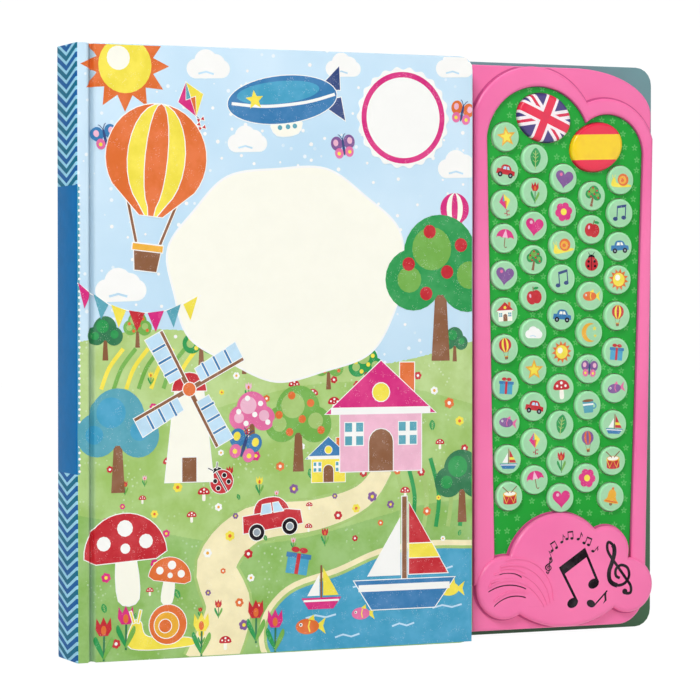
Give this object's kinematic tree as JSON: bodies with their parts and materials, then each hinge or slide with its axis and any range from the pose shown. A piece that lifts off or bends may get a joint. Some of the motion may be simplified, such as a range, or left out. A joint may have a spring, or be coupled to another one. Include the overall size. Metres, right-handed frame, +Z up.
{
  "type": "sound book",
  "caption": "Hard-cover sound book: hinged covers and pages, with a moulded sound panel of press buttons on the wider back cover.",
  "frame": {"origin": "centre of the bounding box on the plane that the book stands on", "axes": "+Z up along the spine, +X from the spine to the sound panel, -Y out of the front cover"},
  "size_m": [0.3222, 0.029, 0.29],
  "materials": {
    "cover_print": "printed paper on board, satin laminate",
    "spine_print": "printed paper on board, satin laminate",
    "page_paper": "uncoated page edges",
    "panel_plastic": "moulded pink plastic, satin gloss",
    "field_print": "printed label, satin",
    "button_plastic": "mint plastic caps with printed faces",
    "flag_plastic": "plastic caps with printed striped faces",
    "circuit": "solder-masked board",
    "speaker_black": "black basket"
  },
  "bodies": {
    "back_cover": {"back_cover": "cover_print", "sound_housing": "panel_plastic", "circuit_board": "circuit", "speaker": "speaker_black", "battery_door": "panel_plastic"},
    "page_block": {"page_block": "page_paper", "spine": "spine_print"},
    "front_cover": {"front_cover": "cover_print"},
    "button_01": {"button_01": "button_plastic"},
    "button_02": {"button_02": "button_plastic"},
    "button_03": {"button_03": "button_plastic"},
    "button_04": {"button_04": "button_plastic"},
    "button_05": {"button_05": "button_plastic"},
    "button_06": {"button_06": "button_plastic"},
    "button_07": {"button_07": "button_plastic"},
    "button_08": {"button_08": "button_plastic"},
    "button_09": {"button_09": "button_plastic"},
    "button_10": {"button_10": "button_plastic"},
    "button_11": {"button_11": "button_plastic"},
    "button_12": {"button_12": "button_plastic"},
    "button_13": {"button_13": "button_plastic"},
    "button_14": {"button_14": "button_plastic"},
    "button_15": {"button_15": "button_plastic"},
    "button_16": {"button_16": "button_plastic"},
    "button_17": {"button_17": "button_plastic"},
    "button_18": {"button_18": "button_plastic"},
    "button_19": {"button_19": "button_plastic"},
    "button_20": {"button_20": "button_plastic"},
    "button_21": {"button_21": "button_plastic"},
    "button_22": {"button_22": "button_plastic"},
    "button_23": {"button_23": "button_plastic"},
    "button_24": {"button_24": "button_plastic"},
    "button_25": {"button_25": "button_plastic"},
    "button_26": {"button_26": "button_plastic"},
    "button_27": {"button_27": "button_plastic"},
    "button_28": {"button_28": "button_plastic"},
    "button_29": {"button_29": "button_plastic"},
    "button_30": {"button_30": "button_plastic"},
    "button_31": {"button_31": "button_plastic"},
    "button_32": {"button_32": "button_plastic"},
    "button_33": {"button_33": "button_plastic"},
    "button_34": {"button_34": "button_plastic"},
    "button_35": {"button_35": "button_plastic"},
    "button_36": {"button_36": "button_plastic"},
    "button_37": {"button_37": "button_plastic"},
    "button_38": {"button_38": "button_plastic"},
    "button_39": {"button_39": "button_plastic"},
    "button_40": {"button_40": "button_plastic"},
    "button_41": {"button_41": "button_plastic"},
    "button_42": {"button_42": "button_plastic"},
    "button_43": {"button_43": "button_plastic"},
    "button_44": {"button_44": "button_plastic"},
    "button_45": {"button_45": "button_plastic"},
    "button_46": {"button_46": "button_plastic"},
    "button_47": {"button_47": "button_plastic"},
    "button_48": {"button_48": "button_plastic"},
    "button_49": {"button_49": "button_plastic"},
    "button_50": {"button_50": "button_plastic"},
    "flag_button_left": {"flag_button_left": "flag_plastic"},
    "flag_button_right": {"flag_button_right": "flag_plastic"}
  },
  "joints": [
    {"name": "back_cover_hinge", "type": "hinge", "parent": "back_cover", "child": "page_block", "pos_m": [-0.1538, 0.0148, 0.145], "axis": [0, 0, -1], "range_deg": [0, 180]},
    {"name": "front_cover_hinge", "type": "hinge", "parent": "page_block", "child": "front_cover", "pos_m": [-0.1538, -0.0148, 0.145], "axis": [0, 0, -1], "range_deg": [0, 180]},
    {"name": "button_01_press", "type": "slide", "parent": "back_cover", "child": "button_01", "axis": [0, 1, 0], "range_m": [0, 0.001], "stiffness_N_per_m": 1200},
    {"name": "button_02_press", "type": "slide", "parent": "back_cover", "child": "button_02", "axis": [0, 1, 0], "range_m": [0, 0.001], "stiffness_N_per_m": 1200},
    {"name": "button_03_press", "type": "slide", "parent": "back_cover", "child": "button_03", "axis": [0, 1, 0], "range_m": [0, 0.001], "stiffness_N_per_m": 1200},
    {"name": "button_04_press", "type": "slide", "parent": "back_cover", "child": "button_04", "axis": [0, 1, 0], "range_m": [0, 0.001], "stiffness_N_per_m": 1200},
    {"name": "button_05_press", "type": "slide", "parent": "back_cover", "child": "button_05", "axis": [0, 1, 0], "range_m": [0, 0.001], "stiffness_N_per_m": 1200},
    {"name": "button_06_press", "type": "slide", "parent": "back_cover", "child": "button_06", "axis": [0, 1, 0], "range_m": [0, 0.001], "stiffness_N_per_m": 1200},
    {"name": "button_07_press", "type": "slide", "parent": "back_cover", "child": "button_07", "axis": [0, 1, 0], "range_m": [0, 0.001], "stiffness_N_per_m": 1200},
    {"name": "button_08_press", "type": "slide", "parent": "back_cover", "child": "button_08", "axis": [0, 1, 0], "range_m": [0, 0.001], "stiffness_N_per_m": 1200},
    {"name": "button_09_press", "type": "slide", "parent": "back_cover", "child": "button_09", "axis": [0, 1, 0], "range_m": [0, 0.001], "stiffness_N_per_m": 1200},
    {"name": "button_10_press", "type": "slide", "parent": "back_cover", "child": "button_10", "axis": [0, 1, 0], "range_m": [0, 0.001], "stiffness_N_per_m": 1200},
    {"name": "button_11_press", "type": "slide", "parent": "back_cover", "child": "button_11", "axis": [0, 1, 0], "range_m": [0, 0.001], "stiffness_N_per_m": 1200},
    {"name": "button_12_press", "type": "slide", "parent": "back_cover", "child": "button_12", "axis": [0, 1, 0], "range_m": [0, 0.001], "stiffness_N_per_m": 1200},
    {"name": "button_13_press", "type": "slide", "parent": "back_cover", "child": "button_13", "axis": [0, 1, 0], "range_m": [0, 0.001], "stiffness_N_per_m": 1200},
    {"name": "button_14_press", "type": "slide", "parent": "back_cover", "child": "button_14", "axis": [0, 1, 0], "range_m": [0, 0.001], "stiffness_N_per_m": 1200},
    {"name": "button_15_press", "type": "slide", "parent": "back_cover", "child": "button_15", "axis": [0, 1, 0], "range_m": [0, 0.001], "stiffness_N_per_m": 1200},
    {"name": "button_16_press", "type": "slide", "parent": "back_cover", "child": "button_16", "axis": [0, 1, 0], "range_m": [0, 0.001], "stiffness_N_per_m": 1200},
    {"name": "button_17_press", "type": "slide", "parent": "back_cover", "child": "button_17", "axis": [0, 1, 0], "range_m": [0, 0.001], "stiffness_N_per_m": 1200},
    {"name": "button_18_press", "type": "slide", "parent": "back_cover", "child": "button_18", "axis": [0, 1, 0], "range_m": [0, 0.001], "stiffness_N_per_m": 1200},
    {"name": "button_19_press", "type": "slide", "parent": "back_cover", "child": "button_19", "axis": [0, 1, 0], "range_m": [0, 0.001], "stiffness_N_per_m": 1200},
    {"name": "button_20_press", "type": "slide", "parent": "back_cover", "child": "button_20", "axis": [0, 1, 0], "range_m": [0, 0.001], "stiffness_N_per_m": 1200},
    {"name": "button_21_press", "type": "slide", "parent": "back_cover", "child": "button_21", "axis": [0, 1, 0], "range_m": [0, 0.001], "stiffness_N_per_m": 1200},
    {"name": "button_22_press", "type": "slide", "parent": "back_cover", "child": "button_22", "axis": [0, 1, 0], "range_m": [0, 0.001], "stiffness_N_per_m": 1200},
    {"name": "button_23_press", "type": "slide", "parent": "back_cover", "child": "button_23", "axis": [0, 1, 0], "range_m": [0, 0.001], "stiffness_N_per_m": 1200},
    {"name": "button_24_press", "type": "slide", "parent": "back_cover", "child": "button_24", "axis": [0, 1, 0], "range_m": [0, 0.001], "stiffness_N_per_m": 1200},
    {"name": "button_25_press", "type": "slide", "parent": "back_cover", "child": "button_25", "axis": [0, 1, 0], "range_m": [0, 0.001], "stiffness_N_per_m": 1200},
    {"name": "button_26_press", "type": "slide", "parent": "back_cover", "child": "button_26", "axis": [0, 1, 0], "range_m": [0, 0.001], "stiffness_N_per_m": 1200},
    {"name": "button_27_press", "type": "slide", "parent": "back_cover", "child": "button_27", "axis": [0, 1, 0], "range_m": [0, 0.001], "stiffness_N_per_m": 1200},
    {"name": "button_28_press", "type": "slide", "parent": "back_cover", "child": "button_28", "axis": [0, 1, 0], "range_m": [0, 0.001], "stiffness_N_per_m": 1200},
    {"name": "button_29_press", "type": "slide", "parent": "back_cover", "child": "button_29", "axis": [0, 1, 0], "range_m": [0, 0.001], "stiffness_N_per_m": 1200},
    {"name": "button_30_press", "type": "slide", "parent": "back_cover", "child": "button_30", "axis": [0, 1, 0], "range_m": [0, 0.001], "stiffness_N_per_m": 1200},
    {"name": "button_31_press", "type": "slide", "parent": "back_cover", "child": "button_31", "axis": [0, 1, 0], "range_m": [0, 0.001], "stiffness_N_per_m": 1200},
    {"name": "button_32_press", "type": "slide", "parent": "back_cover", "child": "button_32", "axis": [0, 1, 0], "range_m": [0, 0.001], "stiffness_N_per_m": 1200},
    {"name": "button_33_press", "type": "slide", "parent": "back_cover", "child": "button_33", "axis": [0, 1, 0], "range_m": [0, 0.001], "stiffness_N_per_m": 1200},
    {"name": "button_34_press", "type": "slide", "parent": "back_cover", "child": "button_34", "axis": [0, 1, 0], "range_m": [0, 0.001], "stiffness_N_per_m": 1200},
    {"name": "button_35_press", "type": "slide", "parent": "back_cover", "child": "button_35", "axis": [0, 1, 0], "range_m": [0, 0.001], "stiffness_N_per_m": 1200},
    {"name": "button_36_press", "type": "slide", "parent": "back_cover", "child": "button_36", "axis": [0, 1, 0], "range_m": [0, 0.001], "stiffness_N_per_m": 1200},
    {"name": "button_37_press", "type": "slide", "parent": "back_cover", "child": "button_37", "axis": [0, 1, 0], "range_m": [0, 0.001], "stiffness_N_per_m": 1200},
    {"name": "button_38_press", "type": "slide", "parent": "back_cover", "child": "button_38", "axis": [0, 1, 0], "range_m": [0, 0.001], "stiffness_N_per_m": 1200},
    {"name": "button_39_press", "type": "slide", "parent": "back_cover", "child": "button_39", "axis": [0, 1, 0], "range_m": [0, 0.001], "stiffness_N_per_m": 1200},
    {"name": "button_40_press", "type": "slide", "parent": "back_cover", "child": "button_40", "axis": [0, 1, 0], "range_m": [0, 0.001], "stiffness_N_per_m": 1200},
    {"name": "button_41_press", "type": "slide", "parent": "back_cover", "child": "button_41", "axis": [0, 1, 0], "range_m": [0, 0.001], "stiffness_N_per_m": 1200},
    {"name": "button_42_press", "type": "slide", "parent": "back_cover", "child": "button_42", "axis": [0, 1, 0], "range_m": [0, 0.001], "stiffness_N_per_m": 1200},
    {"name": "button_43_press", "type": "slide", "parent": "back_cover", "child": "button_43", "axis": [0, 1, 0], "range_m": [0, 0.001], "stiffness_N_per_m": 1200},
    {"name": "button_44_press", "type": "slide", "parent": "back_cover", "child": "button_44", "axis": [0, 1, 0], "range_m": [0, 0.001], "stiffness_N_per_m": 1200},
    {"name": "button_45_press", "type": "slide", "parent": "back_cover", "child": "button_45", "axis": [0, 1, 0], "range_m": [0, 0.001], "stiffness_N_per_m": 1200},
    {"name": "button_46_press", "type": "slide", "parent": "back_cover", "child": "button_46", "axis": [0, 1, 0], "range_m": [0, 0.001], "stiffness_N_per_m": 1200},
    {"name": "button_47_press", "type": "slide", "parent": "back_cover", "child": "button_47", "axis": [0, 1, 0], "range_m": [0, 0.001], "stiffness_N_per_m": 1200},
    {"name": "button_48_press", "type": "slide", "parent": "back_cover", "child": "button_48", "axis": [0, 1, 0], "range_m": [0, 0.001], "stiffness_N_per_m": 1200},
    {"name": "button_49_press", "type": "slide", "parent": "back_cover", "child": "button_49", "axis": [0, 1, 0], "range_m": [0, 0.001], "stiffness_N_per_m": 1200},
    {"name": "button_50_press", "type": "slide", "parent": "back_cover", "child": "button_50", "axis": [0, 1, 0], "range_m": [0, 0.001], "stiffness_N_per_m": 1200},
    {"name": "flag_button_left_press", "type": "slide", "parent": "back_cover", "child": "flag_button_left", "axis": [0, 1, 0], "range_m": [0, 0.001], "stiffness_N_per_m": 1200},
    {"name": "flag_button_right_press", "type": "slide", "parent": "back_cover", "child": "flag_button_right", "axis": [0, 1, 0], "range_m": [0, 0.001], "stiffness_N_per_m": 1200}
  ]
}
